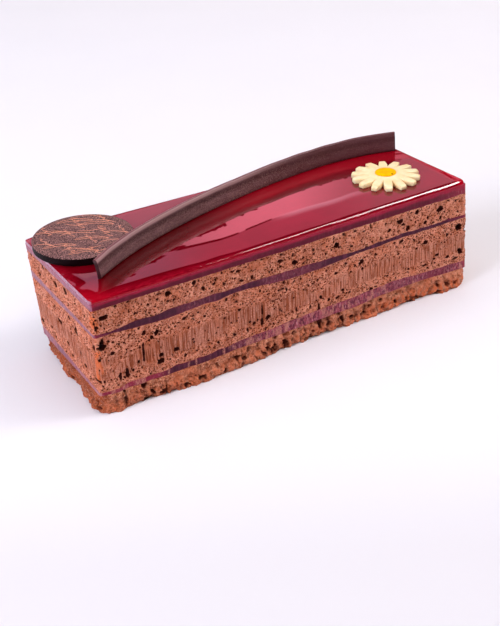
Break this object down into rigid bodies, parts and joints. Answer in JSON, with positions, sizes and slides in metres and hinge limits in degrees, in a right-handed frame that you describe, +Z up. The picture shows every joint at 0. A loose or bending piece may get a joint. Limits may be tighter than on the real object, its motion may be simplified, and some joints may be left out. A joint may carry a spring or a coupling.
{
  "type": "chocolate berry cake",
  "caption": "Rectangular bar cake: chocolate mousse with berry jelly bands on a crumbly base, a glossy red glaze, and a dark chocolate disc, a curl and a white chocolate daisy on top.",
  "frame": {"origin": "middle of the bounding box, on the surface that the cake stands on", "axes": "+X along the bar, away from the end with the chocolate disc; +Z up; the long cut side with the low end of the chocolate curl faces -Y"},
  "size_m": [0.1548, 0.0574, 0.0506],
  "materials": {
    "base_sponge": "rough, crumbly",
    "chocolate_mousse": "matte, full of small bubbles",
    "berry_jelly": "moist, semi-gloss",
    "mirror_glaze": "mirror gloss",
    "dark_chocolate": "satin",
    "white_chocolate": "satin",
    "daisy_yellow": "satin"
  },
  "bodies": {
    "root": {"base_sponge": "base_sponge", "berry_jelly_lower": "berry_jelly", "mousse_lower": "chocolate_mousse", "berry_jelly_middle": "berry_jelly", "mousse_upper": "chocolate_mousse", "berry_jelly_top": "berry_jelly", "mirror_glaze": "mirror_glaze", "chocolate_disc": "dark_chocolate", "chocolate_curl": "dark_chocolate", "daisy_petals": "white_chocolate", "daisy_eye": "daisy_yellow"}
  },
  "joints": []
}
